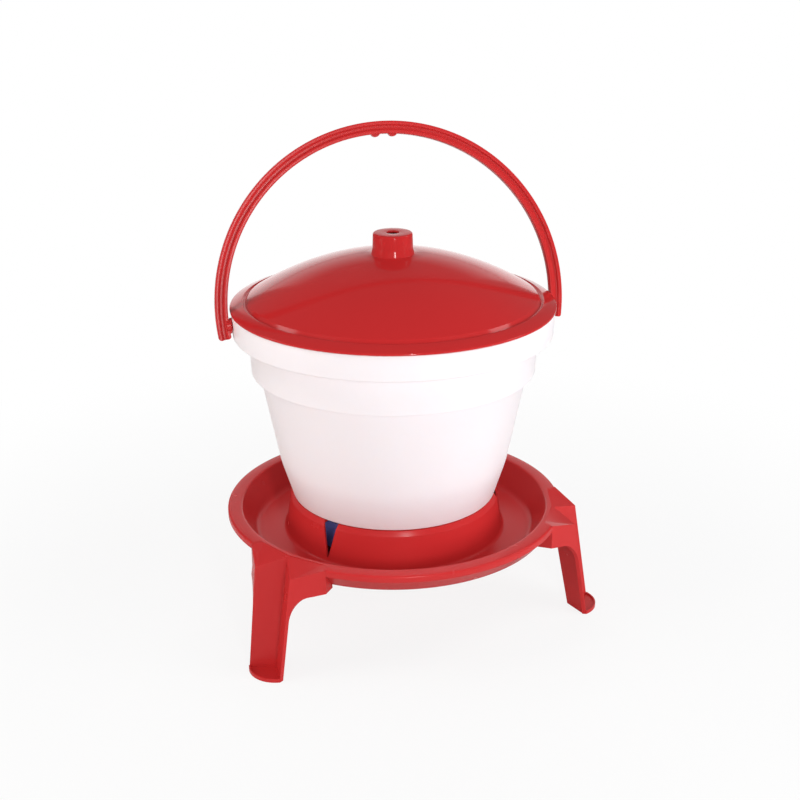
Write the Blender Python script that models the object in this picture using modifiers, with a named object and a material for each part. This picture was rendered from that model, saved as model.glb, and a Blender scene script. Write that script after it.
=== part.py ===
"""Poultry drinking bucket: lidded water bucket, float valve and a drinking tray on three legs."""
import math

import bmesh
import bpy
from mathutils import Matrix, Vector

MM = 0.001
GAP = 0.3 * MM                    # clearance between pieces that touch in use
CUT_PAST = 3 * MM                 # how far a cutter runs past a face that it cuts
CUT_SPARE = 33 * MM               # the same for the large cutters at the legs
TURN_STEPS = 54                   # facets around the large turned mouldings
SMALL_STEPS = 24                  # facets around studs, pins and valve parts
THIRD = math.radians(120)

# Bucket: its bottom edge sets the radii of all that it sits on or carries
BUCKET_WALL = 2.2 * MM
BUCKET_BOTTOM = 2.5 * MM          # thickness of its floor
SEAT_R = 114.6 * MM               # bottom edge, seated on the ring's flange
KNEE_OUT = 13 * MM                # bottom edge out to where the wall steepens
KNEE_RISE = 42 * MM
KNEE_BLEND = 90 * MM
WALL_OUT = 20.4 * MM              # knee out to the plain wall's top
WALL_RISE = 105.2 * MM
LOW_BAND_STEP = 8.2 * MM
LOW_BAND_FLARE = 1.8 * MM
LOW_BAND_HEIGHT = 43 * MM
RIM_BAND_STEP = 16.8 * MM
RIM_BAND_FLARE = 1 * MM
RIM_BAND_HEIGHT = 27.8 * MM
BRIM_WIDTH = 4.6 * MM             # thickened edge at the top
BRIM_DEPTH = 6 * MM
HOOK_REACH = 3.2 * MM             # bayonet hooks that lock the bucket under the flange
HOOK_HALF_WIDTH = 6 * MM
HOOK_THICK = 2.8 * MM

# Drinking tray. The origin is on the bucket's axis at the underside of the tray.
TRAY_WALL = 2.5 * MM
TROUGH_DEPTH = 30 * MM            # lip top down to the trough floor
SEAT_MARGIN = 0.8 * MM            # ring's upper edge outside the bucket's bottom edge
RING_FLANGE = 6.4 * MM            # width of the inward flange that carries the bucket
RING_CHAMFER = 2.9 * MM           # slope between the ring's top and its shoulder
RING_SHOULDER = 8.5 * MM          # shoulder's height above the lip
RING_CHAMFER_RISE = 5.7 * MM
RING_TAPER = 5.7 * MM             # how far the ring wall spreads down to the floor
TROUGH_WIDTH = 34 * MM            # level floor between ring and sloping outer wall
TROUGH_SLOPE = 16 * MM            # how far the outer wall leans out up to the lip
LIP_WIDTH = 16 * MM
LIP_BAND = 7.5 * MM               # height of the upright band at the lip's edge
SKIRT_STEP = 1.2 * MM             # step from the lip's band in to the skirt
SKIRT_IN = 13.5 * MM              # lip's edge in to the skirt's lower edge
SKIRT_DEPTH = 22.8 * MM           # lip top down to the skirt's lower edge
NOTCH_DEPTH = 39 * MM             # V notches that let the water through the ring
NOTCH_HALF_WIDTH = 9.28 * MM
NOTCH_TIP_HALF = 0.8 * MM
LEG_AZIMUTH = math.radians(232.1)
NOTCH_AZIMUTH = math.radians(233.9)

# Legs: V gutters, open outwards, moulded with the tray
LEG_HEIGHT = 124 * MM             # lip top down to the ground
LEG_WALL = 3 * MM
BRACKET_HALF_ANGLE = math.radians(16)
FOLD_ANGLE = math.radians(13.2)   # where the roof's outer fold meets the lip
ROOF_IN = 4.5 * MM                # the roof starts this far out on the lip
ROOF_SINK = 0.1 * MM              # the roof starts this far below the lip's top
ROOF_DROP = 9.5 * MM              # fall of the bracket's roof at the gutter's corners
BRACKET_OVERLAP = 2.0 * MM        # how far the roof reaches into the lip's cut edge
BRACKET_RETURN = 23.5 * MM        # how far a bracket's end wall runs in under the lip
CORNER_OUT = 15.5 * MM            # gutter's outer corners past the lip's edge, at the lip's level
CORNER_SPLAY = 19.5 * MM          # how much further out they are at the ground
CORNER_HALF = 24.6 * MM
CORNER_TAPER = 2.9 * MM
VERTEX_IN = 7 * MM                # bottom of the V inside the lip's edge, at the lip's level
VERTEX_SPLAY = 24 * MM
LEG_RETURN = 0.8 * MM             # narrow return along each outer corner
RETURN_SPARE = 5 * MM             # trimmed off again with the web's lower edge
WEB_LOW = 27.5 * MM               # lip top down to the web's lower edge at its end
WEB_FALL = 1.5 * MM               # fall of that edge towards the leg
WEB_ARC_WIDTH = 20 * MM           # rounding between web and leg
WEB_ARC_HEIGHT = 31 * MM
WEB_SPARE = 9 * MM                # the web is made this much deeper before its edge is cut
FOOT_BULGE = 10.3 * MM            # how far the foot's round toe stands out
FOOT_RIM = 1.6 * MM               # raised rim round the foot's floor
FOOT_RIM_WIDTH = 1.8 * MM
FOOT_SPREAD = 0.9 * MM            # how far the foot's sides stand out past the gutter

# Lid
LID_WALL = 2.2 * MM
LID_OVERHANG = 1.2 * MM           # lid's edge past the brim
LID_EDGE = 7.6 * MM               # height of the lid's rim next to the dome
RIM_WIDTH = 16 * MM               # rim round the dome
RIM_FALL = 5.4 * MM               # how far the rim slopes down to its outer edge
GROOVE_WIDTH = 1.6 * MM           # groove between dome and rim
GROOVE_DEPTH = 1.4 * MM
DOME_RISE = 49.5 * MM
SPIGOT_CLEAR = 1.7 * MM           # ring that centres the lid inside the brim
SPIGOT_DEPTH = 9 * MM
SPIGOT_TAPER = 0.8 * MM
KNOB_FOOT_R = 23 * MM
KNOB_TAPER = 1.6 * MM
KNOB_HEIGHT = 22.8 * MM
KNOB_HOLE_R = 6.8 * MM

# Carrying handle
PIVOT_AZIMUTH = math.radians(12.4)
PIVOT_DROP = 12.2 * MM            # brim down to the pivots
HANDLE_LEAN = math.radians(12.7)  # the handle stands a little back in its detent
HANDLE_CLEAR = 2.4 * MM           # arch past the lid's edge
ARCH_RISE = 14.3 * MM             # pivots up to the arch's centre
BAR_WIDTH = 13.4 * MM
BAR_DEPTH = 9.5 * MM
BAR_GROOVE = 2.2 * MM
RIDGE = 3.9 * MM
RIDGE_SLOPE = 1 * MM
ARCH_END = math.radians(9)        # how far the limbs run below the centre
PIVOT_R = 4 * MM
BOSS_R = 8.4 * MM
BOSS_SINK = 3 * MM                # how far the boss runs into the limb
BOSS_TEETH = 18
TOOTH = 0.9 * MM
STUD_HEAD_R = 6 * MM
STUD_HEAD = 2.4 * MM
BUMP_OFFSET = 9.4 * MM            # two bumps under the middle of the bar
BUMP_R = 5.2 * MM
BUMP_PROUD = 3.3 * MM

# Float valve under the bucket
STEM_R = 8.6 * MM
STEM_RISE = 15 * MM               # length above the bucket's floor
STEM_WALL = 2.5 * MM
GASKET = 1.6 * MM
VALVE_FLANGE_R = 14 * MM
VALVE_FLANGE = 3.2 * MM
NOZZLE_R = 4.6 * MM
NOZZLE_LIP = 1.4 * MM             # taper of the nozzle down to its tip
NOZZLE_BORE_R = 2 * MM
NOZZLE_LENGTH = 7 * MM
NUT_R = 15 * MM
NUT_HEIGHT = 8 * MM
PIN_R = 1.6 * MM
PIN_SPARE = 2 * MM                # the pin's ends past the cheeks
PIN_OFFSET = 18 * MM              # nozzle to the float's pin
PIN_DROP = 5 * MM                 # nozzle tip down to the pin's axis
CHEEK = 3 * MM                    # the two cheeks that carry the pin
CHEEK_FAR = 4.5 * MM              # past the pin's axis
CHEEK_NEAR = 8 * MM               # from the valve's axis
CHEEK_LOW = 4 * MM                # below the pin's axis
CHEEK_SINK = 0.4 * MM             # below the flange's top
LEVER_WIDTH = 12 * MM
LEVER_DEPTH = 6 * MM
LEVER_SINK = 6 * MM               # how far the lever runs into the float
EYE_R = 3.9 * MM                  # the lever's eye round the pin
SEAL_R = 4.2 * MM
SEAL_THICK = 2.4 * MM
SEAL_PROUD = 0.6 * MM             # seal above the lever
SEAL_TRAVEL = 1.4 * MM            # open gap between the seal and the nozzle
FLOAT_MARGIN = 11 * MM            # float inside the ring's flange
FLOAT_INNER_R = 44 * MM
FLOAT_HALF_ANGLE = math.radians(68)
FLOAT_PROUD = 2.3 * MM            # float's top above its lever
FLOAT_CLEAR = 1.4 * MM            # above the chamber's floor when the tray is dry

# Radii worked out from the sizes above
KNEE_R = SEAT_R + KNEE_OUT
BODY_TOP_R = KNEE_R + WALL_OUT
LOW_BAND_R = BODY_TOP_R + LOW_BAND_STEP
LOW_BAND_TOP_R = LOW_BAND_R + LOW_BAND_FLARE
RIM_BAND_R = LOW_BAND_TOP_R + RIM_BAND_STEP
BRIM_R = RIM_BAND_R + RIM_BAND_FLARE
RING_TOP_R = SEAT_R + SEAT_MARGIN
RING_FLANGE_R = RING_TOP_R - RING_FLANGE
RING_SHOULDER_R = RING_TOP_R + RING_CHAMFER
RING_FOOT_R = RING_SHOULDER_R + RING_TAPER
TROUGH_FLOOR_R = RING_FOOT_R + TROUGH_WIDTH
LIP_INNER_R = TROUGH_FLOOR_R + TROUGH_SLOPE
LIP_OUTER_R = LIP_INNER_R + LIP_WIDTH
SKIRT_LOW_R = LIP_OUTER_R - SKIRT_IN
ROOF_START_R = LIP_INNER_R + ROOF_IN
LID_R = BRIM_R + LID_OVERHANG
DOME_R = LID_R - RIM_WIDTH
LID_SPIGOT_R = BRIM_R - BRIM_WIDTH - SPIGOT_CLEAR
KNOB_TOP_R = KNOB_FOOT_R - KNOB_TAPER
ARCH_R = LID_R + HANDLE_CLEAR + BAR_WIDTH
FLOAT_OUTER_R = RING_FLANGE_R - FLOAT_MARGIN

# Heights worked out from the sizes above
LIP_TOP = TRAY_WALL + TROUGH_DEPTH
GROUND = LIP_TOP - LEG_HEIGHT
RING_TOP = LIP_TOP + RING_SHOULDER + RING_CHAMFER_RISE
LOW_BAND_RISE = KNEE_RISE + WALL_RISE
RIM_BAND_RISE = LOW_BAND_RISE + LOW_BAND_HEIGHT
BUCKET_BASE = RING_TOP + GAP
BUCKET_FLOOR = BUCKET_BASE + BUCKET_BOTTOM
BRIM_TOP = BUCKET_BASE + RIM_BAND_RISE + RIM_BAND_HEIGHT
LID_BASE = BRIM_TOP + GAP
PIVOT_Z = BRIM_TOP - PIVOT_DROP

for old in list(bpy.data.objects):
    bpy.data.objects.remove(old, do_unlink=True)


def new_collection(name):
    collection = bpy.data.collections.new(name)
    bpy.context.scene.collection.children.link(collection)
    return collection


PARTS = new_collection("poultry_drinking_bucket")
CUTTERS = new_collection("cutters")


def material(name, colour, roughness):
    made = bpy.data.materials.new(name)
    made.use_nodes = True
    shader = made.node_tree.nodes["Principled BSDF"]
    shader.inputs["Base Color"].default_value = (*colour, 1)
    shader.inputs["Roughness"].default_value = roughness
    return made


RED = material("red_plastic", (0.48, 0.028, 0.028), 0.3)
WHITE = material("white_plastic", (0.86, 0.84, 0.82), 0.4)
BLUE = material("blue_plastic", (0.05, 0.08, 0.42), 0.35)
BLACK = material("black_rubber", (0.02, 0.02, 0.02), 0.7)
PALE = material("pale_valve_plastic", (0.75, 0.75, 0.72), 0.4)
STEEL = material("stainless_steel", (0.6, 0.6, 0.6), 0.3)
STEEL.node_tree.nodes["Principled BSDF"].inputs["Metallic"].default_value = 1


def add_object(name, mesh, finish):
    made = bpy.data.objects.new(name, mesh)
    PARTS.objects.link(made)
    if finish:
        mesh.materials.clear()
        mesh.materials.append(finish)
    return made


def mesh_from(name, bm):
    mesh = bpy.data.meshes.new(name)
    bm.to_mesh(mesh)
    bm.free()
    return mesh


def smooth(made, degrees=30):
    made.data.shade_smooth()
    made.data.set_sharp_from_angle(angle=math.radians(degrees))


def rounded(corners, segments=2):
    """Outline points from corners (x, z, radius), with an arc at each rounded corner."""
    points = []
    for i, (x, z, radius) in enumerate(corners):
        here = Vector((x, z))
        if radius == 0:
            points.append(here)
            continue
        before = Vector(corners[i - 1][:2]) - here
        after = Vector(corners[(i + 1) % len(corners)][:2]) - here
        half = before.angle(after) / 2
        reach = min(radius / math.tan(half), before.length * 0.49, after.length * 0.49)
        start = here + before.normalized() * reach
        end = here + after.normalized() * reach
        centre = here + (before.normalized() + after.normalized()).normalized() * reach / math.cos(half)
        a = start - centre
        sweep = a.angle_signed(end - centre)
        for k in range(segments + 1):
            turn = -sweep * k / segments
            points.append(centre + Matrix.Rotation(turn, 2) @ a)
    return points


def turned(name, outline, finish, closed, steps=TURN_STEPS):
    """Turn an outline of (radius, height) points round the Z axis with a Screw modifier."""
    bm = bmesh.new()
    verts = [bm.verts.new((r, 0, z)) for r, z in outline]
    for a, b in zip(verts, verts[1:]):
        bm.edges.new((a, b))
    if closed:
        bm.edges.new((verts[-1], verts[0]))
    made = add_object(name, mesh_from(name, bm), finish)
    screw = made.modifiers.new("turn", "SCREW")
    screw.steps = steps
    screw.render_steps = steps
    screw.use_merge_vertices = True
    screw.merge_threshold = 0.00001
    screw.use_normal_calculate = False
    return baked(made)


def baked(made):
    """Apply an object's modifiers, so that Booleans and joins start from its final mesh."""
    bpy.context.view_layer.update()
    evaluated = made.evaluated_get(bpy.context.evaluated_depsgraph_get())
    mesh = bpy.data.meshes.new_from_object(evaluated)
    made.modifiers.clear()
    made.data = mesh
    return made


def prism(name, outline, low, high, finish=None):
    """Upright prism on a plan outline, as a 2D curve that is made a welded mesh."""
    curve = bpy.data.curves.new(name, "CURVE")
    curve.dimensions = "2D"
    curve.fill_mode = "BOTH"
    curve.extrude = (high - low) / 2
    spline = curve.splines.new("POLY")
    spline.points.add(len(outline) - 1)
    for point, (x, y) in zip(spline.points, outline):
        point.co = (x, y, 0, 1)
    spline.use_cyclic_u = True
    source = bpy.data.objects.new(name + "_curve", curve)
    PARTS.objects.link(source)
    source.location.z = (low + high) / 2
    bpy.context.view_layer.update()
    evaluated = source.evaluated_get(bpy.context.evaluated_depsgraph_get())
    mesh = bpy.data.meshes.new_from_object(evaluated)
    bm = bmesh.new()
    bm.from_mesh(mesh)
    bmesh.ops.remove_doubles(bm, verts=bm.verts, dist=0.000001)
    bmesh.ops.transform(bm, matrix=source.matrix_world, verts=bm.verts)
    bmesh.ops.recalc_face_normals(bm, faces=bm.faces)
    bpy.data.objects.remove(source, do_unlink=True)
    return add_object(name, mesh_from(name, bm), finish)


def cylinder(name, radius, length, middle, direction, finish=None, steps=SMALL_STEPS):
    bm = bmesh.new()
    bmesh.ops.create_cone(bm, cap_ends=True, segments=steps, radius1=radius, radius2=radius, depth=length)
    turn = Vector((0, 0, 1)).rotation_difference(Vector(direction)).to_matrix().to_4x4()
    bmesh.ops.transform(bm, matrix=Matrix.Translation(middle) @ turn, verts=bm.verts)
    return add_object(name, mesh_from(name, bm), finish)


def block(name, low, high, finish=None):
    """Box between two corners."""
    low, high = Vector(low), Vector(high)
    bm = bmesh.new()
    bmesh.ops.create_cube(bm, size=1)
    bmesh.ops.scale(bm, vec=high - low, verts=bm.verts)
    bmesh.ops.translate(bm, vec=(low + high) / 2, verts=bm.verts)
    return add_object(name, mesh_from(name, bm), finish)


def spun(made, azimuth):
    """Turn a mesh about the Z axis."""
    made.data.transform(Matrix.Rotation(azimuth, 4, "Z"))
    return made


def combine(made, other, operation):
    """Boolean with another object; a cutter is kept as a wire, a joined piece goes."""
    modifier = made.modifiers.new(operation.lower(), "BOOLEAN")
    modifier.operation = operation
    modifier.object = other
    if operation == "DIFFERENCE":
        for collection in list(other.users_collection):
            collection.objects.unlink(other)
        CUTTERS.objects.link(other)
        other.hide_render = True
        other.display_type = "WIRE"
    baked(made)
    if operation == "UNION":
        bpy.data.objects.remove(other, do_unlink=True)
    return made


def weld(made):
    """Merge the hair-thin edges that a chain of Booleans leaves."""
    bm = bmesh.new()
    bm.from_mesh(made.data)
    bmesh.ops.remove_doubles(bm, verts=bm.verts, dist=0.00001)
    bmesh.ops.dissolve_degenerate(bm, edges=bm.edges, dist=0.000001)
    bm.to_mesh(made.data)
    bm.free()
    return made


def polar(radius, azimuth):
    return Vector((radius * math.cos(azimuth), radius * math.sin(azimuth)))


def arc(radius, start, end, steps):
    return [polar(radius, start + (end - start) * k / steps) for k in range(steps + 1)]


# Drinking tray: trough, ring wall and the three legs are one moulding

def tray_dish():
    """The turned part of the tray, from the floor's centre out over the lip to the skirt."""
    floor = TRAY_WALL
    skirt_low = LIP_TOP - SKIRT_DEPTH
    skirt_top = LIP_TOP - LIP_BAND
    outline = rounded([
        (0, floor, 0),
        (RING_FOOT_R - TRAY_WALL, floor, 1 * MM),
        (RING_SHOULDER_R - TRAY_WALL, RING_TOP - TRAY_WALL, 0),
        (RING_FLANGE_R, RING_TOP - TRAY_WALL, 0),
        (RING_FLANGE_R, RING_TOP, 0),
        (RING_TOP_R, RING_TOP, 0.8 * MM),
        (RING_SHOULDER_R, LIP_TOP + RING_SHOULDER, 1.2 * MM),
        (RING_FOOT_R, floor, 4 * MM),
        (TROUGH_FLOOR_R, floor, 9 * MM),
        (LIP_INNER_R, LIP_TOP, 3 * MM),
        (LIP_OUTER_R, LIP_TOP, 3 * MM),
        (LIP_OUTER_R, skirt_top, 0),
        (LIP_OUTER_R - SKIRT_STEP, skirt_top, 0),
        (SKIRT_LOW_R, skirt_low, 0),
        (SKIRT_LOW_R - TRAY_WALL, skirt_low, 0),
        (LIP_OUTER_R - SKIRT_STEP - TRAY_WALL, skirt_top + 1.5 * MM, 0),
        (LIP_OUTER_R - TRAY_WALL - 1.5 * MM, LIP_TOP - TRAY_WALL, 0),
        (LIP_INNER_R + 1.6 * MM, LIP_TOP - TRAY_WALL, 2 * MM),
        (TROUGH_FLOOR_R + 1.2 * MM, 0, 9 * MM),
        (0, 0, 0),
    ])
    return turned("drinking_tray", outline, RED, closed=False)


def along(top, foot, depth):
    """Point on a gutter line that runs from the lip's level to the ground."""
    return top + (foot - top) * depth / LEG_HEIGHT


def gutter_corner(depth):
    radius = LIP_OUTER_R + CORNER_OUT
    return Vector((along(radius, radius + CORNER_SPLAY, depth),
                   along(CORNER_HALF, CORNER_HALF - CORNER_TAPER, depth)))


def gutter_vertex(depth):
    radius = LIP_OUTER_R - VERTEX_IN
    return Vector((along(radius, radius + VERTEX_SPLAY, depth), 0))


WEB_END = polar(LIP_OUTER_R, BRACKET_HALF_ANGLE)


def roof_fall(point):
    """Fall of the bracket's roof below the lip's top: a plane from a chord of the lip to a corner."""
    inner, side = Vector((ROOF_START_R, 0)), polar(ROOF_START_R, FOLD_ANGLE)
    edge = (side - inner).normalized()
    across = Vector((edge.y, -edge.x))
    slope = (ROOF_DROP - ROOF_SINK) / (gutter_corner(ROOF_DROP) - inner).dot(across)
    return ROOF_SINK + slope * (point - inner).dot(across)


def bracket_cutter():
    """Takes lip and skirt away behind a bracket, outside the line where its roof starts."""
    span = BRACKET_HALF_ANGLE - 0.5 * TRAY_WALL / LIP_OUTER_R
    inner, outer = ROOF_START_R + BRACKET_OVERLAP, LIP_OUTER_R + 2 * CUT_PAST
    plan = [polar(outer, -span), polar(outer / math.cos(span), 0), polar(outer, span)]
    plan += [polar(inner, span), polar(inner, 0), polar(inner, -span)]
    cutter = prism("bracket_cutter", plan, LIP_TOP - SKIRT_DEPTH - CUT_PAST,
                   LIP_TOP + BRACKET_OVERLAP / 2)
    for v in cutter.data.vertices:
        if v.co.z < LIP_TOP and v.co.xy.length < LIP_OUTER_R:
            v.co.xy *= (SKIRT_LOW_R - TRAY_WALL - BRACKET_OVERLAP) / v.co.xy.length
    return cutter


def leg_sheet():
    """Outer faces of a bracket and its gutter: roof, web, end facet and V wall of one half."""
    mid = WEB_LOW + WEB_FALL + WEB_ARC_HEIGHT + WEB_SPARE
    foot = LEG_HEIGHT + CUT_PAST
    spare = LEG_RETURN + RETURN_SPARE
    along_web = (WEB_END - gutter_corner(0)).normalized() * spare
    bm = bmesh.new()

    def vert(point, depth):
        return bm.verts.new((point.x, point.y, LIP_TOP - depth))

    roof = [polar(ROOF_START_R, 0), polar(ROOF_START_R, FOLD_ANGLE), gutter_vertex(0)]
    start, fold, vertex = [vert(point, roof_fall(point)) for point in roof]
    corner = vert(gutter_corner(ROOF_DROP), ROOF_DROP)
    end, inner = vert(WEB_END, ROOF_SINK), vert(polar(ROOF_START_R, BRACKET_HALF_ANGLE), ROOF_SINK)
    flange = bm.verts.new(corner.co + (end.co - corner.co).normalized() * spare)
    rows = []
    for depth in (mid, foot):
        rows.append([vert(gutter_vertex(depth), depth), vert(gutter_corner(depth), depth),
                     vert(gutter_corner(depth) + along_web, depth)])
    end_low = vert(WEB_END, mid)
    inner_low = vert(polar(LIP_OUTER_R - BRACKET_RETURN, BRACKET_HALF_ANGLE), mid)
    bm.faces.new((start, vertex, corner, fold))
    bm.faces.new((fold, corner, flange, end))
    bm.faces.new((fold, end, inner))
    bm.faces.new((inner, end, end_low, inner_low))
    bm.faces.new((end, flange, rows[0][2], end_low))
    above = [vertex, corner, flange]
    for row in rows:
        for k in (0, 1):
            bm.faces.new((above[k + 1], above[k], row[k], row[k + 1]))
        above = row
    bmesh.ops.recalc_face_normals(bm, faces=bm.faces)
    if start.link_faces[0].normal.z < 0:
        bmesh.ops.reverse_faces(bm, faces=bm.faces)
    sheet = add_object("leg", mesh_from("leg", bm), None)
    mirror = sheet.modifiers.new("both_halves", "MIRROR")
    mirror.use_axis = (False, True, False)
    mirror.use_clip = True
    mirror.merge_threshold = 0.00001
    wall = sheet.modifiers.new("wall", "SOLIDIFY")
    wall.thickness = LEG_WALL
    wall.offset = -1
    wall.use_even_offset = True
    return baked(sheet)


def mirrored(made):
    """Both halves of a piece that is modelled on the +Y side of its leg."""
    bm = bmesh.new()
    bm.from_mesh(made.data)
    copy = bmesh.ops.duplicate(bm, geom=bm.faces[:] + bm.edges[:] + bm.verts[:])["geom"]
    verts = [g for g in copy if isinstance(g, bmesh.types.BMVert)]
    bmesh.ops.scale(bm, vec=(1, -1, 1), verts=verts)
    bmesh.ops.reverse_faces(bm, faces=[g for g in copy if isinstance(g, bmesh.types.BMFace)])
    bm.to_mesh(made.data)
    bm.free()
    return made


def web_cutter():
    """Shapes the lower edge of both webs: nearly level, then a round corner down to the leg."""
    high = -WEB_LOW
    arc_low = WEB_LOW + WEB_FALL + WEB_ARC_HEIGHT
    centre = Vector((gutter_corner(arc_low).y + LEG_RETURN + WEB_ARC_WIDTH, -arc_low))
    quarter = [math.radians(90 + 15 * k) for k in range(7)]
    side = WEB_END.y + CUT_SPARE
    outline = [Vector((side, high)), Vector((WEB_END.y, high))]
    outline += [centre + Vector((WEB_ARC_WIDTH * math.cos(a), WEB_ARC_HEIGHT * math.sin(a))) for a in quarter]
    low = -LEG_HEIGHT - CUT_SPARE
    outline += [Vector((gutter_corner(-low).y + LEG_RETURN, low)), Vector((side, low))]
    near, far = gutter_vertex(0).x - CUT_SPARE, gutter_corner(LEG_HEIGHT).x + CUT_SPARE
    cutter = prism("web_cutter", outline, near, far)
    upright = Matrix(((0, 0, 1, 0), (1, 0, 0, 0), (0, 1, 0, LIP_TOP), (0, 0, 0, 1)))
    cutter.data.transform(upright)
    return mirrored(cutter)


def foot_outline(inset):
    """Plan of a foot: along the V walls, with a round toe between the outer corners."""
    corner, vertex = gutter_corner(LEG_HEIGHT), gutter_vertex(LEG_HEIGHT)
    half, bulge = corner.y + FOOT_SPREAD, FOOT_BULGE
    toe_r = (half * half + bulge * bulge) / (2 * bulge) - inset
    span = math.asin(min(1, (half - inset) / toe_r))
    centre = corner.x + bulge - toe_r - inset
    toe = [Vector((centre + toe_r * math.cos(a), toe_r * math.sin(a)))
           for a in (span * (k / 5 - 1) for k in range(11))]
    return [vertex + Vector((inset * 1.6 - 1.5 * MM, 0))] + toe


def foot():
    floor = prism("foot", foot_outline(0), GROUND - CUT_PAST, GROUND + TRAY_WALL + FOOT_RIM)
    pocket = prism("foot_pocket", foot_outline(FOOT_RIM_WIDTH), GROUND + TRAY_WALL,
                   GROUND + TRAY_WALL + FOOT_RIM + CUT_PAST)
    return combine(floor, pocket, "DIFFERENCE")


def leg():
    made = combine(leg_sheet(), web_cutter(), "DIFFERENCE")
    combine(made, foot(), "UNION")
    near, far = gutter_vertex(0).x - CUT_SPARE, gutter_corner(LEG_HEIGHT).x + CUT_SPARE
    side = WEB_END.y + CUT_SPARE
    ground = block("ground_cutter", (near, -side, GROUND - CUT_SPARE), (far, side, GROUND))
    return combine(made, ground, "DIFFERENCE")


def copy_of(source, name):
    made = source.copy()
    made.data = source.data.copy()
    made.name = name
    PARTS.objects.link(made)
    return made


def notch_cutter(azimuth):
    """A V notch through the ring wall, from its top nearly down to the floor."""
    slope = (NOTCH_HALF_WIDTH - NOTCH_TIP_HALF) / NOTCH_DEPTH
    half, top = NOTCH_HALF_WIDTH + slope * CUT_PAST, RING_TOP + CUT_PAST
    tip, low = NOTCH_TIP_HALF, RING_TOP - NOTCH_DEPTH
    outline = [Vector((-half, top)), Vector((half, top)), Vector((tip, low)), Vector((-tip, low))]
    cutter = prism("notch_cutter", outline, RING_FLANGE_R - 2 * CUT_PAST, RING_FOOT_R + 2 * CUT_PAST)
    upright = Matrix(((0, 0, 1, 0), (1, 0, 0, 0), (0, 1, 0, 0), (0, 0, 0, 1)))
    cutter.data.transform(upright)
    return spun(cutter, azimuth)


def drinking_tray():
    tray = tray_dish()
    one_leg = leg()
    for k in range(3):
        azimuth = LEG_AZIMUTH + k * THIRD
        combine(tray, spun(bracket_cutter(), azimuth), "DIFFERENCE")
        combine(tray, spun(copy_of(one_leg, "leg_copy"), azimuth), "UNION")
        combine(tray, notch_cutter(NOTCH_AZIMUTH + k * THIRD), "DIFFERENCE")
    bpy.data.objects.remove(one_leg, do_unlink=True)
    smooth(weld(tray))
    return tray


# Bucket: one moulding, stepped out twice near the brim so that buckets nest

def bucket_outline():
    wall, base = BUCKET_WALL, BUCKET_BASE
    hole = STEM_R + GAP
    step = LOW_BAND_RISE
    return rounded([
        (hole, BUCKET_FLOOR, 0),
        (hole, base, 0),
        (SEAT_R, base, 2 * MM),
        (KNEE_R, base + KNEE_RISE, KNEE_BLEND),
        (BODY_TOP_R, base + step, 0.8 * MM),
        (LOW_BAND_R, base + step, 1.2 * MM),
        (LOW_BAND_TOP_R, base + RIM_BAND_RISE, 0.8 * MM),
        (RIM_BAND_R, base + RIM_BAND_RISE, 1.5 * MM),
        (BRIM_R, BRIM_TOP, 1.2 * MM),
        (BRIM_R - BRIM_WIDTH, BRIM_TOP, 1 * MM),
        (BRIM_R - BRIM_WIDTH, BRIM_TOP - BRIM_DEPTH / 2, 0),
        (RIM_BAND_R - wall + 0.4 * MM, BRIM_TOP - BRIM_DEPTH, 0),
        (RIM_BAND_R - wall, base + RIM_BAND_RISE + wall, 1.2 * MM),
        (LOW_BAND_TOP_R - wall, base + RIM_BAND_RISE + wall, 1.2 * MM),
        (LOW_BAND_R - wall, base + step + wall, 1.2 * MM),
        (BODY_TOP_R - wall, base + step + wall, 1.2 * MM),
        (KNEE_R - wall, base + KNEE_RISE, KNEE_BLEND),
        (SEAT_R - wall, BUCKET_FLOOR, 5 * MM),
    ])


def bucket_hook(azimuth):
    """Bayonet hook under the bucket's base; its toe turns in under the ring's flange."""
    toe_top = RING_TOP - TRAY_WALL - GAP
    toe_low = toe_top - HOOK_THICK
    root_out = RING_FLANGE_R - 2 * GAP
    root_in = root_out - HOOK_THICK
    root_top = BUCKET_BASE + BUCKET_BOTTOM / 2
    outline = [Vector((root_in, root_top)), Vector((root_in, toe_low)),
               Vector((RING_FLANGE_R + HOOK_REACH, toe_low)), Vector((RING_FLANGE_R + HOOK_REACH, toe_top)),
               Vector((root_out, toe_top)), Vector((root_out, root_top))]
    hook = prism("bucket_hook", outline, -HOOK_HALF_WIDTH, HOOK_HALF_WIDTH)
    upright = Matrix(((1, 0, 0, 0), (0, 0, -1, 0), (0, 1, 0, 0), (0, 0, 0, 1)))
    hook.data.transform(upright)
    return spun(hook, azimuth)


def pivot_direction():
    return Vector((math.cos(PIVOT_AZIMUTH), math.sin(PIVOT_AZIMUTH), 0))


def bucket():
    made = turned("bucket", bucket_outline(), WHITE, closed=True)
    for k in range(3):
        combine(made, bucket_hook(NOTCH_AZIMUTH + THIRD / 2 + k * THIRD), "UNION")
    holes = cylinder("pivot_holes", PIVOT_R + GAP, 2 * LIP_OUTER_R, (0, 0, PIVOT_Z), pivot_direction())
    combine(made, holes, "DIFFERENCE")
    smooth(weld(made))
    return made


# Lid: a dome with a hollow knob, resting on the brim

def dome_height(radius, shell=0.0):
    """Height of the dome's surface above the lid's edge, a shallow round cap."""
    return LID_EDGE + DOME_RISE * (1 - (radius / DOME_R) ** 2) - shell


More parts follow.
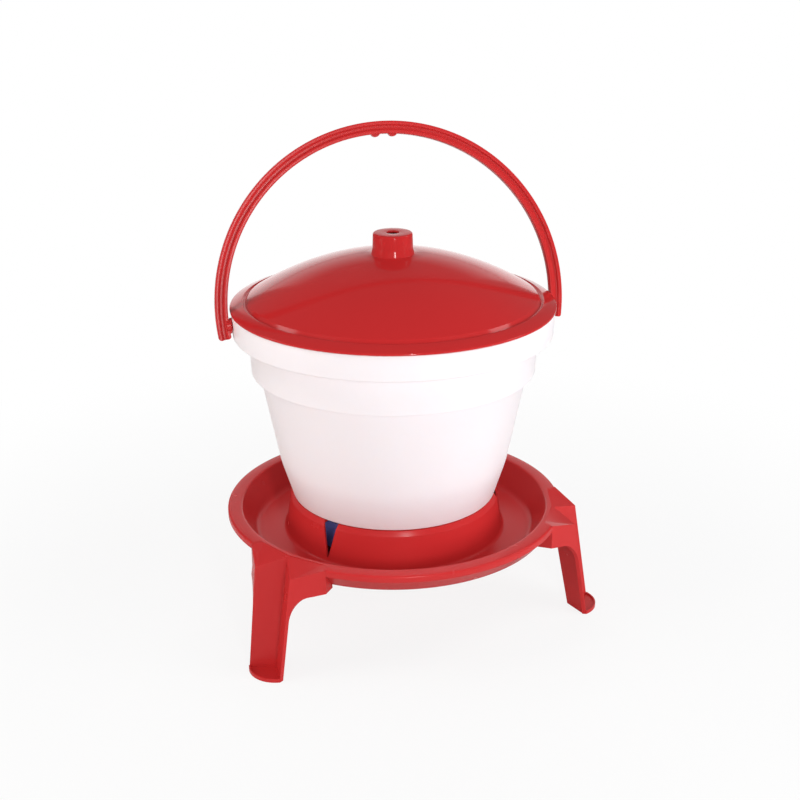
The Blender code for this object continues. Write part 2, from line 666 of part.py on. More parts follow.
def lid_outline():
    base, wall = LID_BASE, LID_WALL
    knob_foot = dome_height(KNOB_FOOT_R)
    knob_top = knob_foot + KNOB_HEIGHT
    radii = [KNOB_FOOT_R + (DOME_R - KNOB_FOOT_R) * k / 7 for k in range(1, 8)]
    groove_r, groove = DOME_R + GROOVE_WIDTH, LID_EDGE - GROOVE_DEPTH
    inner_knob = KNOB_TOP_R - wall
    outer = [
        (KNOB_HOLE_R, base + knob_top - 1 * MM, 0),
        (KNOB_HOLE_R, base + knob_top, 0.6 * MM),
        (KNOB_TOP_R, base + knob_top, 2 * MM),
        (KNOB_FOOT_R - 0.6 * MM, base + knob_foot + 1.5 * MM, 0),
        (KNOB_FOOT_R + 1.4 * MM, base + dome_height(KNOB_FOOT_R + 1.4 * MM), 0),
    ]
    outer += [(r, base + dome_height(r), 0) for r in radii]
    outer += [
        (groove_r, base + groove, 0),
        (groove_r + 1.8 * MM, base + LID_EDGE, 0.8 * MM),
        (LID_R, base + LID_EDGE - RIM_FALL, 1.6 * MM),
        (LID_R, base, 0.4 * MM),
        (LID_SPIGOT_R, base, 0),
        (LID_SPIGOT_R - SPIGOT_TAPER, base - SPIGOT_DEPTH, 0.4 * MM),
        (LID_SPIGOT_R - wall - SPIGOT_TAPER, base - SPIGOT_DEPTH, 0.4 * MM),
        (LID_SPIGOT_R - wall, base + 1 * MM, 1.2 * MM),
        (groove_r + 1 * MM, base + LID_EDGE - 1.8 * wall, 0),
        (groove_r - wall, base + LID_EDGE - 1.8 * wall, 0),
    ]
    outer += [(r - wall * 0.3, base + dome_height(r, wall), 0) for r in reversed(radii[:-1])]
    outer += [
        (inner_knob, base + dome_height(inner_knob, wall), 0),
        (inner_knob - 1.2 * MM, base + knob_top - wall, 1.2 * MM),
        (KNOB_HOLE_R, base + knob_top - wall, 0),
    ]
    return rounded(outer)


def lid():
    made = turned("lid", lid_outline(), RED, closed=True)
    smooth(made)
    return made


# Carrying handle: a ribbed arch with a toothed boss and a snap stud at each end

def bar_section():
    """Section of the bar as (outward from the arch's centre, sideways), with a groove on both faces."""
    out, side, groove = ARCH_R, BAR_DEPTH / 2, BAR_DEPTH / 2 - BAR_GROOVE
    inner = ARCH_R - BAR_WIDTH
    half = [(out, side), (out - RIDGE, side), (out - RIDGE - RIDGE_SLOPE, groove),
            (inner + RIDGE + RIDGE_SLOPE, groove), (inner + RIDGE, side), (inner, side)]
    return half + [(r, -s) for r, s in reversed(half)]


def handle_arch():
    """The arch in its own frame: pivots on the X axis, arch upright in XZ."""
    bm = bmesh.new()
    start = Matrix.Rotation(ARCH_END, 4, "Y")
    verts = [bm.verts.new(start @ Vector((r, s, 0))) for r, s in bar_section()]
    face = bm.faces.new(verts)
    bmesh.ops.spin(bm, geom=[face, *face.edges, *face.verts], cent=(0, 0, 0), axis=(0, -1, 0),
                   angle=math.pi + 2 * ARCH_END, steps=44, use_duplicate=False)
    bmesh.ops.recalc_face_normals(bm, faces=bm.faces)
    bmesh.ops.translate(bm, vec=(0, 0, ARCH_RISE), verts=bm.verts)
    return add_object("carrying_handle", mesh_from("carrying_handle", bm), RED)


def toothed_boss(low, high):
    """Toothed disc between the bucket's band and the limb; it holds the handle where it is set."""
    count = 2 * BOSS_TEETH
    outline = [polar(BOSS_R - (k % 2) * TOOTH, math.tau * k / count) for k in range(count)]
    boss = prism("boss", outline, low, high)
    boss.data.transform(Matrix.Rotation(math.pi / 2, 4, "Y"))
    return boss


def carrying_handle():
    handle = handle_arch()
    band_r = along_band(PIVOT_DROP)
    inner_face = math.sqrt((ARCH_R - BAR_WIDTH) ** 2 - ARCH_RISE ** 2)
    for side in (1, -1):
        boss = toothed_boss(band_r + 2 * GAP, inner_face + BOSS_SINK)
        stud_end = band_r - BUCKET_WALL - 3 * GAP - STUD_HEAD
        combine(boss, cylinder("stud", PIVOT_R, inner_face - stud_end, ((inner_face + stud_end) / 2, 0, 0),
                               (1, 0, 0)), "UNION")
        combine(boss, cylinder("stud_head", STUD_HEAD_R, STUD_HEAD, (stud_end + STUD_HEAD / 2, 0, 0),
                               (1, 0, 0)), "UNION")
        bump_z = ARCH_RISE + ARCH_R - BAR_WIDTH + BUMP_R - BUMP_PROUD
        bump = cylinder("bump", BUMP_R, BAR_DEPTH - 2 * BAR_GROOVE, (BUMP_OFFSET, 0, bump_z), (0, 1, 0))
        if side < 0:
            boss.data.transform(Matrix.Rotation(math.pi, 4, "Z"))
            bump.data.transform(Matrix.Rotation(math.pi, 4, "Z"))
        combine(handle, boss, "UNION")
        combine(handle, bump, "UNION")
    smooth(weld(handle), 25)
    pivot = bpy.data.objects.new("handle_pivot", None)
    PARTS.objects.link(pivot)
    pivot.location = (0, 0, PIVOT_Z)
    pivot.rotation_euler = (0, 0, PIVOT_AZIMUTH)
    handle.parent = pivot
    handle.rotation_euler = (-HANDLE_LEAN, 0, 0)
    return handle


def along_band(drop):
    """Outer radius of the bucket's rim band at a depth below the brim."""
    return BRIM_R - RIM_BAND_FLARE * drop / RIM_BAND_HEIGHT


# Float valve: body through the bucket's floor, nut above, gasket below, float on a pin

VALVE_TOP = BUCKET_BASE - GASKET - 2 * GAP
NOZZLE_TIP = VALVE_TOP - VALVE_FLANGE - NOZZLE_LENGTH
PIN_Z = NOZZLE_TIP - PIN_DROP
SEAL_TOP = NOZZLE_TIP - SEAL_TRAVEL
FLOAT_DIRECTION = NOTCH_AZIMUTH


def valve_body():
    """Turned body with a bore, and two cheeks that carry the pin on the side away from the float."""
    low = VALVE_TOP - VALVE_FLANGE
    outline = rounded([
        (NOZZLE_BORE_R, NOZZLE_TIP, 0),
        (NOZZLE_R - NOZZLE_LIP, NOZZLE_TIP, 0),
        (NOZZLE_R, low, 0),
        (VALVE_FLANGE_R, low, 0.6 * MM),
        (VALVE_FLANGE_R, VALVE_TOP, 0.6 * MM),
        (STEM_R, VALVE_TOP, 0),
        (STEM_R, BUCKET_FLOOR + STEM_RISE, 1 * MM),
        (STEM_R - STEM_WALL, BUCKET_FLOOR + STEM_RISE, 0),
        (STEM_R - STEM_WALL, VALVE_TOP, 0),
        (NOZZLE_BORE_R, low + 0.8 * MM, 0),
    ][::-1])
    body = turned("valve_body", outline, PALE, closed=True, steps=SMALL_STEPS)
    inner = LEVER_WIDTH / 2 + 2 * GAP
    for side in (1, -1):
        near, far = sorted((side * inner, side * (inner + CHEEK)))
        cheek = block("cheek", (-PIN_OFFSET - CHEEK_FAR, near, PIN_Z - CHEEK_LOW),
                      (-CHEEK_NEAR, far, VALVE_TOP - CHEEK_SINK))
        combine(body, spun(cheek, FLOAT_DIRECTION), "UNION")
    hole = cylinder("pin_hole", PIN_R + GAP, 2 * LEVER_WIDTH + 4 * CHEEK, (-PIN_OFFSET, 0, PIN_Z), (0, 1, 0))
    combine(body, spun(hole, FLOAT_DIRECTION), "DIFFERENCE")
    smooth(weld(body))
    return body


def valve_gasket():
    low = BUCKET_BASE - GASKET - GAP
    bore, edge = STEM_R + GAP, VALVE_FLANGE_R - 0.5 * MM
    outline = [(bore, low + GASKET), (edge, low + GASKET), (edge, low), (bore, low)]
    made = turned("valve_gasket", [Vector(p) for p in outline], BLACK, closed=True, steps=SMALL_STEPS)
    smooth(made)
    return made


def valve_nut():
    low = BUCKET_FLOOR + GAP
    hexagon = [polar(NUT_R, math.radians(60 * k)) for k in range(6)]
    nut = prism("valve_nut", hexagon, low, low + NUT_HEIGHT, PALE)
    bore = cylinder("nut_bore", STEM_R + GAP, 4 * NUT_HEIGHT, (0, 0, low), (0, 0, 1))
    return combine(nut, bore, "DIFFERENCE")


def float_pin():
    length = LEVER_WIDTH + 2 * (CHEEK + PIN_SPARE)
    pin = cylinder("float_pin", PIN_R, length, (-PIN_OFFSET, 0, PIN_Z), (0, 1, 0), STEEL, 16)
    smooth(spun(pin, FLOAT_DIRECTION))
    return pin


def float_piece():
    """Blue float and its lever, one moulding; its origin is on the pin's axis."""
    low = TRAY_WALL + FLOAT_CLEAR
    lever_top = SEAL_TOP - SEAL_PROUD
    plan = arc(FLOAT_OUTER_R, -FLOAT_HALF_ANGLE, FLOAT_HALF_ANGLE, 20)
    plan += arc(FLOAT_INNER_R, FLOAT_HALF_ANGLE, -FLOAT_HALF_ANGLE, 14)
    made = prism("float", plan, low, lever_top + FLOAT_PROUD, BLUE)
    lever = block("lever", (-PIN_OFFSET, -LEVER_WIDTH / 2, lever_top - LEVER_DEPTH),
                  (FLOAT_INNER_R + LEVER_SINK, LEVER_WIDTH / 2, lever_top))
    combine(made, lever, "UNION")
    eye = cylinder("eye", EYE_R, LEVER_WIDTH, (-PIN_OFFSET, 0, PIN_Z), (0, 1, 0))
    combine(made, eye, "UNION")
    combine(made, cylinder("eye_hole", PIN_R + GAP, 2 * LEVER_WIDTH, (-PIN_OFFSET, 0, PIN_Z), (0, 1, 0)),
            "DIFFERENCE")
    pocket_low = SEAL_TOP - SEAL_THICK - GAP
    pocket = cylinder("seal_pocket", SEAL_R + GAP, SEAL_THICK * 2, (0, 0, pocket_low + SEAL_THICK), (0, 0, 1))
    combine(made, pocket, "DIFFERENCE")
    weld(made)
    made.data.transform(Matrix.Translation((PIN_OFFSET, 0, -PIN_Z)))
    pivot = bpy.data.objects.new("float_pivot", None)
    PARTS.objects.link(pivot)
    pivot.location = (*(-PIN_OFFSET * polar(1, FLOAT_DIRECTION)), PIN_Z)
    pivot.rotation_euler = (0, 0, FLOAT_DIRECTION)
    made.parent = pivot
    return made


def float_seal(pivot):
    middle = (PIN_OFFSET, 0, SEAL_TOP - SEAL_THICK / 2 - PIN_Z)
    seal = cylinder("float_seal", SEAL_R, SEAL_THICK, middle, (0, 0, 1), BLACK)
    smooth(seal)
    seal.parent = pivot
    return seal


drinking_tray()
bucket()
lid()
carrying_handle()
valve_body()
valve_gasket()
valve_nut()
float_pin()
float_seal(float_piece().parent)
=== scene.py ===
"""Looks of the poultry drinking bucket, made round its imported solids."""

import math

import bmesh
import bpy
from mathutils import Matrix, Vector


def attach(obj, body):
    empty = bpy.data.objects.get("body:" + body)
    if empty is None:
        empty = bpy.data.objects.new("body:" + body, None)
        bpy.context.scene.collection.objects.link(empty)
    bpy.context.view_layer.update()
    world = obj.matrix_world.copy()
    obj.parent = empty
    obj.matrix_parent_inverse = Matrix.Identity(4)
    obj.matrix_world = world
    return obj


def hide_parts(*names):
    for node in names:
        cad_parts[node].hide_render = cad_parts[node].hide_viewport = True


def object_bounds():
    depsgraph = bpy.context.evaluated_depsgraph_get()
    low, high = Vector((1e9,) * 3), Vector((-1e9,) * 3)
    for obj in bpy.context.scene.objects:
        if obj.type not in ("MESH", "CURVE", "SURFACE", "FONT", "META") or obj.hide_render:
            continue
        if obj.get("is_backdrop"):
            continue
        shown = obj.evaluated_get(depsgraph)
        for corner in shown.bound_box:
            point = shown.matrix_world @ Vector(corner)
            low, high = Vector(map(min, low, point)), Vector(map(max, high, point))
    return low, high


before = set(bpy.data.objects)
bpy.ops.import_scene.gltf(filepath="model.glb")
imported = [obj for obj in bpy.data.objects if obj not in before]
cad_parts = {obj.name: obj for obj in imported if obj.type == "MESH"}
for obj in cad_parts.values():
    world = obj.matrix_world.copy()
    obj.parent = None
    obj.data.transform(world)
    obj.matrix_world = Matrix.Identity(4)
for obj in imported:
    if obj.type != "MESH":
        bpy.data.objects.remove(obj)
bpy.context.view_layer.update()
MM = 0.001


# Drinking tray. One injection moulding in red plastic, a little softer in gloss than
# the lid: a round dish whose raised ring carries the bucket, a trough round the ring,
# and a lip with a skirt. The origin is on the bucket's axis at the dish's underside.

SHARP_ANGLE = math.radians(32)
CORNER_SEGMENTS = 4
TRAY_STEPS = 168
TRAY_WALL = 2.5 * MM
LIP_TOP = 32.5 * MM
LIP_R = 190 * MM
LIP_INNER_R = 174 * MM
SKIRT_LOW_R = 176.5 * MM
SKIRT_LOW = LIP_TOP - 22.8 * MM
BAND_LOW = LIP_TOP - 7.5 * MM
BAND_STEP = 1.2 * MM
BAND_FILLET = 1.5 * MM
TROUGH_FLOOR_R = 158 * MM
TROUGH_WALL_TOP = 1.6 * MM
TROUGH_WALL_LOW = 1.2 * MM
RING_FOOT_R = 124 * MM
RING_SHOULDER_R = 118.3 * MM
RING_TOP_R = 115.4 * MM
RING_FLANGE_R = 109 * MM
RING_SHOULDER = LIP_TOP + 8.5 * MM
RING_TOP = LIP_TOP + 14.2 * MM
NOTCH_AZIMUTH = math.radians(233.9)
NOTCH_DEPTH = 39 * MM
NOTCH_HALF = 9.28 * MM
NOTCH_TIP_HALF = 0.8 * MM
THIRD = math.radians(120)
CUT_PAST = 3 * MM
CLOUD_SCALE = 9
SCUFF_SCALE = 40
SKIN_SCALE = 420
SKIN_DEPTH = 0.3 * MM
GLOSSIEST = 0.85
DULLEST = 1.2


def polar(radius, azimuth):
    return Vector((radius * math.cos(azimuth), radius * math.sin(azimuth)))


def shown(name, bm, finish):
    """A bmesh as an object of the scene, smooth-shaded up to its sharp edges."""
    mesh = bpy.data.meshes.new(name)
    bm.to_mesh(mesh)
    bm.free()
    made = bpy.data.objects.new(name, mesh)
    bpy.context.scene.collection.objects.link(made)
    if finish:
        mesh.materials.append(finish)
    mesh.shade_smooth()
    mesh.set_sharp_from_angle(angle=SHARP_ANGLE)
    return made


def turned(name, corners, finish, steps, closed=True):
    """Spin a profile of (radius, height, rounding) corners round the Z axis."""
    bm = bmesh.new()
    verts = [bm.verts.new((r, 0, z)) for r, z, _ in corners]
    for a, b in zip(verts, verts[1:]):
        bm.edges.new((a, b))
    if closed:
        bm.edges.new((verts[-1], verts[0]))
    points = [Vector((r, z)) for r, z, _ in corners]
    for i, (vert, here, (_, _, rounding)) in enumerate(zip(verts, points, corners)):
        if rounding:
            before, after = points[i - 1] - here, points[(i + 1) % len(points)] - here
            reach = rounding / math.tan(before.angle(after) / 2)
            bmesh.ops.bevel(bm, geom=[vert], offset=min(reach, before.length * 0.48, after.length * 0.48),
                            offset_type="OFFSET", segments=CORNER_SEGMENTS, profile=0.5,
                            affect="VERTICES", material=-1)
    bmesh.ops.spin(bm, geom=bm.verts[:] + bm.edges[:], cent=(0, 0, 0), axis=(0, 0, 1), angle=math.tau,
                   steps=steps, use_merge=True)
    bmesh.ops.remove_doubles(bm, verts=bm.verts, dist=0.001 * MM)
    bmesh.ops.recalc_face_normals(bm, faces=bm.faces)
    return shown(name, bm, finish)


def combine(made, other, operation):
    """Join another piece on, or cut it away, and keep the result as the piece's own mesh."""
    modifier = made.modifiers.new("combine", "BOOLEAN")
    modifier.operation = operation
    modifier.object = other
    evaluated = made.evaluated_get(bpy.context.evaluated_depsgraph_get())
    mesh = bpy.data.meshes.new_from_object(evaluated)
    made.modifiers.clear()
    made.data = mesh
    bpy.data.objects.remove(other, do_unlink=True)
    return made


def prism(name, outline, low, high):
    """Straight prism on a plan outline."""
    bm = bmesh.new()
    base = bm.faces.new([bm.verts.new((x, y, low)) for x, y in outline])
    grown = bmesh.ops.extrude_face_region(bm, geom=[base])["geom"]
    top = [g for g in grown if isinstance(g, bmesh.types.BMVert)]
    bmesh.ops.translate(bm, vec=(0, 0, high - low), verts=top)
    bmesh.ops.recalc_face_normals(bm, faces=bm.faces)
    return shown(name, bm, None)


def turn_to(made, azimuth):
    made.data.transform(Matrix.Rotation(azimuth, 4, "Z"))
    return made


def moulded_plastic(name, colour, roughness, mottle=0.04, orange_peel=0.02, shine=0.5):
    """Moulded plastic: faint cloudy colour, uneven gloss and the slight waviness of a mould's wall."""
    made = bpy.data.materials.new(name)
    made.use_nodes = True
    nodes, links = made.node_tree.nodes, made.node_tree.links
    shader = nodes["Principled BSDF"]
    place = nodes.new("ShaderNodeTexCoord")
    clouds = nodes.new("ShaderNodeTexNoise")
    clouds.inputs["Scale"].default_value = CLOUD_SCALE
    clouds.inputs["Detail"].default_value = 3
    tint = nodes.new("ShaderNodeMix")
    tint.data_type = "RGBA"
    tint.inputs["A"].default_value = (*[c * (1 - mottle) for c in colour], 1)
    tint.inputs["B"].default_value = (*[min(1, c * (1 + mottle)) for c in colour], 1)
    gloss = nodes.new("ShaderNodeMapRange")
    gloss.inputs["To Min"].default_value = roughness * GLOSSIEST
    gloss.inputs["To Max"].default_value = roughness * DULLEST
    scuffs = nodes.new("ShaderNodeTexNoise")
    scuffs.inputs["Scale"].default_value = SCUFF_SCALE
    scuffs.inputs["Detail"].default_value = 4
    skin = nodes.new("ShaderNodeTexNoise")
    skin.inputs["Scale"].default_value = SKIN_SCALE
    skin.inputs["Detail"].default_value = 2
    bump = nodes.new("ShaderNodeBump")
    bump.inputs["Strength"].default_value = orange_peel
    bump.inputs["Distance"].default_value = SKIN_DEPTH
    for texture in (clouds, scuffs, skin):
        links.new(place.outputs["Object"], texture.inputs["Vector"])
    links.new(clouds.outputs["Fac"], tint.inputs["Factor"])
    links.new(tint.outputs["Result"], shader.inputs["Base Color"])
    links.new(scuffs.outputs["Fac"], gloss.inputs["Value"])
    links.new(gloss.outputs["Result"], shader.inputs["Roughness"])
    links.new(skin.outputs["Fac"], bump.inputs["Height"])
    links.new(bump.outputs["Normal"], shader.inputs["Normal"])
    shader.inputs["Specular IOR Level"].default_value = shine
    return made


red_satin_plastic = moulded_plastic("red_satin_plastic", (0.51, 0.024, 0.025), 0.25, shine=0.22)

drinking_tray = turned("drinking_tray_moulding", [
    (0, TRAY_WALL, 0),
    (RING_FOOT_R - TRAY_WALL, TRAY_WALL, 1 * MM),
    (RING_SHOULDER_R - TRAY_WALL, RING_TOP - TRAY_WALL, 0.5 * MM),
    (RING_FLANGE_R, RING_TOP - TRAY_WALL, 0.5 * MM),
    (RING_FLANGE_R, RING_TOP, 0.5 * MM),
    (RING_TOP_R, RING_TOP, 0.8 * MM),
    (RING_SHOULDER_R, RING_SHOULDER, 1.6 * MM),
    (RING_FOOT_R, TRAY_WALL, 4 * MM),
    (TROUGH_FLOOR_R, TRAY_WALL, 9 * MM),
    (LIP_INNER_R, LIP_TOP, 3 * MM),
    (LIP_R, LIP_TOP, 2.4 * MM),
    (LIP_R, BAND_LOW, 0.5 * MM),
    (LIP_R - BAND_STEP, BAND_LOW, 0.5 * MM),
    (SKIRT_LOW_R, SKIRT_LOW, 0.8 * MM),
    (SKIRT_LOW_R - TRAY_WALL, SKIRT_LOW, 0.8 * MM),
    (LIP_R - BAND_STEP - TRAY_WALL, BAND_LOW + BAND_FILLET, 1 * MM),
    (LIP_R - TRAY_WALL - BAND_FILLET, LIP_TOP - TRAY_WALL, 1 * MM),
    (LIP_INNER_R + TROUGH_WALL_TOP, LIP_TOP - TRAY_WALL, 2 * MM),
    (TROUGH_FLOOR_R + TROUGH_WALL_LOW, 0, 9 * MM),
    (0, 0, 0),
], red_satin_plastic, TRAY_STEPS, closed=False)


# Legs, part of the tray's moulding. Each is a V gutter, open outwards, that starts in
# a folded bracket under the lip and ends in a shallow foot with a round toe.

LEG_AZIMUTH = math.radians(232.1)
LEG_HEIGHT = 124 * MM
GROUND = LIP_TOP - LEG_HEIGHT
LEG_WALL = 3 * MM
LEG_EDGE = 0.4 * MM
BRACKET_HALF_ANGLE = math.radians(16)
BRACKET_MARGIN = 0.02
BRACKET_CLEAR = 1 * MM
FOLD_ANGLE = math.radians(13.2)
ROOF_START_R = LIP_INNER_R + 4.5 * MM
ROOF_SINK = 0.1 * MM
ROOF_DROP = 9.5 * MM
BRACKET_OVERLAP = 2.0 * MM
CORNER_R = LIP_R + 15.5 * MM
CORNER_FOOT_R = CORNER_R + 19.5 * MM
CORNER_HALF = 24.6 * MM
CORNER_FOOT_HALF = CORNER_HALF - 2.9 * MM
VERTEX_R = LIP_R - 7 * MM
VERTEX_FOOT_R = VERTEX_R + 24 * MM
LEG_RETURN = 0.8 * MM
RETURN_SPARE = 5 * MM
END_WALL_FOOT_R = LIP_R - 23.5 * MM
WEB_LOW = 27.5 * MM
WEB_FALL = 1.5 * MM
WEB_ARC_WIDTH = 20 * MM
WEB_ARC_HEIGHT = 31 * MM
WEB_BOTTOM = 66 * MM
ARC_STEPS = 12
CUT_SPARE = 33 * MM
FOOT_BULGE = 10.2 * MM
FOOT_RIM = 1.6 * MM
FOOT_RIM_WIDTH = 1.8 * MM
FOOT_SPREAD = 0.9 * MM
HEEL_OVERLAP = 1.5 * MM
HEEL_INSET = 1.6
WEB_END = polar(LIP_R, BRACKET_HALF_ANGLE)


def gutter_corner(depth):
    share = depth / LEG_HEIGHT
    return Vector((CORNER_R + (CORNER_FOOT_R - CORNER_R) * share,
                   CORNER_HALF + (CORNER_FOOT_HALF - CORNER_HALF) * share))


def gutter_vertex(depth):
    return Vector((VERTEX_R + (VERTEX_FOOT_R - VERTEX_R) * depth / LEG_HEIGHT, 0))


def roof_fall(point):
    """Fall of the roof below the lip: a plane from a chord of the lip to the gutter's corner."""
    inner, side = Vector((ROOF_START_R, 0)), polar(ROOF_START_R, FOLD_ANGLE)
    edge = (side - inner).normalized()
    across = Vector((edge.y, -edge.x))
    slope = (ROOF_DROP - ROOF_SINK) / (gutter_corner(ROOF_DROP) - inner).dot(across)
    return ROOF_SINK + slope * (point - inner).dot(across)


def bracket_cutter():
    """Takes lip and skirt away behind a bracket, outside the line where its roof starts."""
    span = BRACKET_HALF_ANGLE - 0.5 * TRAY_WALL / LIP_R
    inner, outer = ROOF_START_R + BRACKET_OVERLAP, LIP_R + 2 * CUT_PAST
    plan = [polar(outer, -span), polar(outer / math.cos(span), 0), polar(outer, span)]
    plan += [polar(inner, span), polar(inner, 0), polar(inner, -span)]
    cutter = prism("bracket_cutter", plan, SKIRT_LOW - CUT_PAST, LIP_TOP + BRACKET_OVERLAP / 2)
    for v in cutter.data.vertices:
        if v.co.z < LIP_TOP and v.co.xy.length < LIP_R:
            v.co.xy *= (SKIRT_LOW_R - TRAY_WALL - BRACKET_OVERLAP) / v.co.xy.length
    return cutter


def leg_shell():
    """Roof, web, end wall and V wall of half a leg, mirrored and given its wall."""
    foot = LEG_HEIGHT + CUT_PAST
    spare = LEG_RETURN + RETURN_SPARE
    along_web = (WEB_END - gutter_corner(0)).normalized() * spare
    bm = bmesh.new()

    def vert(point, depth):
        return bm.verts.new((point.x, point.y, LIP_TOP - depth))

    roof = [polar(ROOF_START_R, 0), polar(ROOF_START_R, FOLD_ANGLE), gutter_vertex(0)]
    start, fold, vertex = [vert(point, roof_fall(point)) for point in roof]
    corner = vert(gutter_corner(ROOF_DROP), ROOF_DROP)
    end, inner = vert(WEB_END, ROOF_SINK), vert(polar(ROOF_START_R, BRACKET_HALF_ANGLE), ROOF_SINK)
    flange = bm.verts.new(corner.co + (end.co - corner.co).normalized() * spare)
    end_low = vert(WEB_END, WEB_BOTTOM)
    inner_low = vert(polar(END_WALL_FOOT_R, BRACKET_HALF_ANGLE), WEB_BOTTOM)
    rows = []
    for depth in (WEB_BOTTOM, foot):
        rows.append([vert(gutter_vertex(depth), depth), vert(gutter_corner(depth), depth),
                     vert(gutter_corner(depth) + along_web, depth)])
    bm.faces.new((start, vertex, corner, fold))
    bm.faces.new((fold, corner, flange, end))
    bm.faces.new((fold, end, inner))
    bm.faces.new((inner, end, end_low, inner_low))
    bm.faces.new((end, flange, rows[0][2], end_low))
    above = [vertex, corner, flange]
    for row in rows:
        for k in (0, 1):
            bm.faces.new((above[k + 1], above[k], row[k], row[k + 1]))
        above = row
    bmesh.ops.recalc_face_normals(bm, faces=bm.faces)
    if start.link_faces[0].normal.z < 0:
        bmesh.ops.reverse_faces(bm, faces=bm.faces)
    bmesh.ops.mirror(bm, geom=bm.verts[:] + bm.edges[:] + bm.faces[:], axis="Y", merge_dist=0.01 * MM)
    bmesh.ops.recalc_face_normals(bm, faces=bm.faces)
    if min(bm.faces, key=lambda f: (f.calc_center_median().xy - start.co.xy).length).normal.z < 0:
        bmesh.ops.reverse_faces(bm, faces=bm.faces)
    shell = shown("leg_shell", bm, red_satin_plastic)
    wall = shell.modifiers.new("wall", "SOLIDIFY")
    wall.thickness = LEG_WALL
    wall.offset = -1
    wall.use_even_offset = True
    return shell


def web_cutter():
    """Lower edge of both webs: nearly level, then a round corner down to the leg."""
    arc_low = WEB_LOW + WEB_FALL + WEB_ARC_HEIGHT
    centre = Vector((gutter_corner(arc_low).y + LEG_RETURN + WEB_ARC_WIDTH, -arc_low))
    quarter = [math.radians(90 + 90 * k / ARC_STEPS) for k in range(ARC_STEPS + 1)]
    side, low = WEB_END.y + CUT_SPARE, -LEG_HEIGHT - CUT_SPARE
    outline = [Vector((side, -WEB_LOW)), Vector((WEB_END.y, -WEB_LOW))]
    outline += [centre + Vector((WEB_ARC_WIDTH * math.cos(a), WEB_ARC_HEIGHT * math.sin(a))) for a in quarter]
    outline += [Vector((gutter_corner(-low).y + LEG_RETURN, low)), Vector((side, low))]
    cutter = prism("web_cutter", outline, gutter_vertex(0).x - CUT_SPARE, CORNER_FOOT_R + CUT_SPARE)
    cutter.data.transform(Matrix(((0, 0, 1, 0), (1, 0, 0, 0), (0, 1, 0, LIP_TOP), (0, 0, 0, 1))))
    bm = bmesh.new()
    bm.from_mesh(cutter.data)
    bmesh.ops.mirror(bm, geom=bm.verts[:] + bm.edges[:] + bm.faces[:], axis="Y", merge_dist=0)
    bmesh.ops.recalc_face_normals(bm, faces=bm.faces)
    bm.to_mesh(cutter.data)
    bm.free()
    return cutter


def foot_outline(inset):
    """Plan of a foot: along the V walls, with a round toe between the outer corners."""
    corner, vertex = gutter_corner(LEG_HEIGHT), gutter_vertex(LEG_HEIGHT)
    half = corner.y + FOOT_SPREAD
    toe_r = (half * half + FOOT_BULGE * FOOT_BULGE) / (2 * FOOT_BULGE) - inset
    span = math.asin(min(1, (half - inset) / toe_r))
    centre = corner.x + FOOT_BULGE - toe_r - inset
    toe = [Vector((centre + toe_r * math.cos(a), toe_r * math.sin(a)))
           for a in (span * (k / ARC_STEPS - 1) for k in range(2 * ARC_STEPS + 1))]
    return [vertex + Vector((inset * HEEL_INSET - HEEL_OVERLAP, 0))] + toe


def leg():
    made = combine(leg_shell(), web_cutter(), "DIFFERENCE")
    top = GROUND + TRAY_WALL + FOOT_RIM
    foot = prism("foot", foot_outline(0), GROUND - CUT_PAST, top)
    pocket = prism("foot_pocket", foot_outline(FOOT_RIM_WIDTH), GROUND + TRAY_WALL, top + CUT_PAST)
    combine(made, combine(foot, pocket, "DIFFERENCE"), "UNION")
    side = WEB_END.y + CUT_SPARE
    near, far = VERTEX_R - CUT_SPARE, CORNER_FOOT_R + CUT_SPARE
    plan = [(near, -side), (far, -side), (far, side), (near, side)]
    return combine(made, prism("ground_cutter", plan, GROUND - CUT_SPARE, GROUND), "DIFFERENCE")


def notch_cutter():
    """A V notch through the ring, from its top nearly down to the floor."""
    slope = (NOTCH_HALF - NOTCH_TIP_HALF) / NOTCH_DEPTH
    half, top = NOTCH_HALF + slope * CUT_PAST, RING_TOP + CUT_PAST
    low = RING_TOP - NOTCH_DEPTH
    outline = [(-half, top), (half, top), (NOTCH_TIP_HALF, low), (-NOTCH_TIP_HALF, low)]
    cutter = prism("notch_cutter", outline, RING_FLANGE_R - 2 * CUT_PAST, RING_FOOT_R + 2 * CUT_PAST)
    cutter.data.transform(Matrix(((0, 0, 1, 0), (1, 0, 0, 0), (0, 1, 0, 0), (0, 0, 0, 1))))
    return cutter


one_leg = leg()
for k in range(3):
    combine(drinking_tray, turn_to(bracket_cutter(), LEG_AZIMUTH + k * THIRD), "DIFFERENCE")
    copy = bpy.data.objects.new("leg_copy", one_leg.data.copy())
    bpy.context.scene.collection.objects.link(copy)
    combine(drinking_tray, turn_to(copy, LEG_AZIMUTH + k * THIRD), "UNION")
    combine(drinking_tray, turn_to(notch_cutter(), NOTCH_AZIMUTH + k * THIRD), "DIFFERENCE")
bpy.data.objects.remove(one_leg, do_unlink=True)


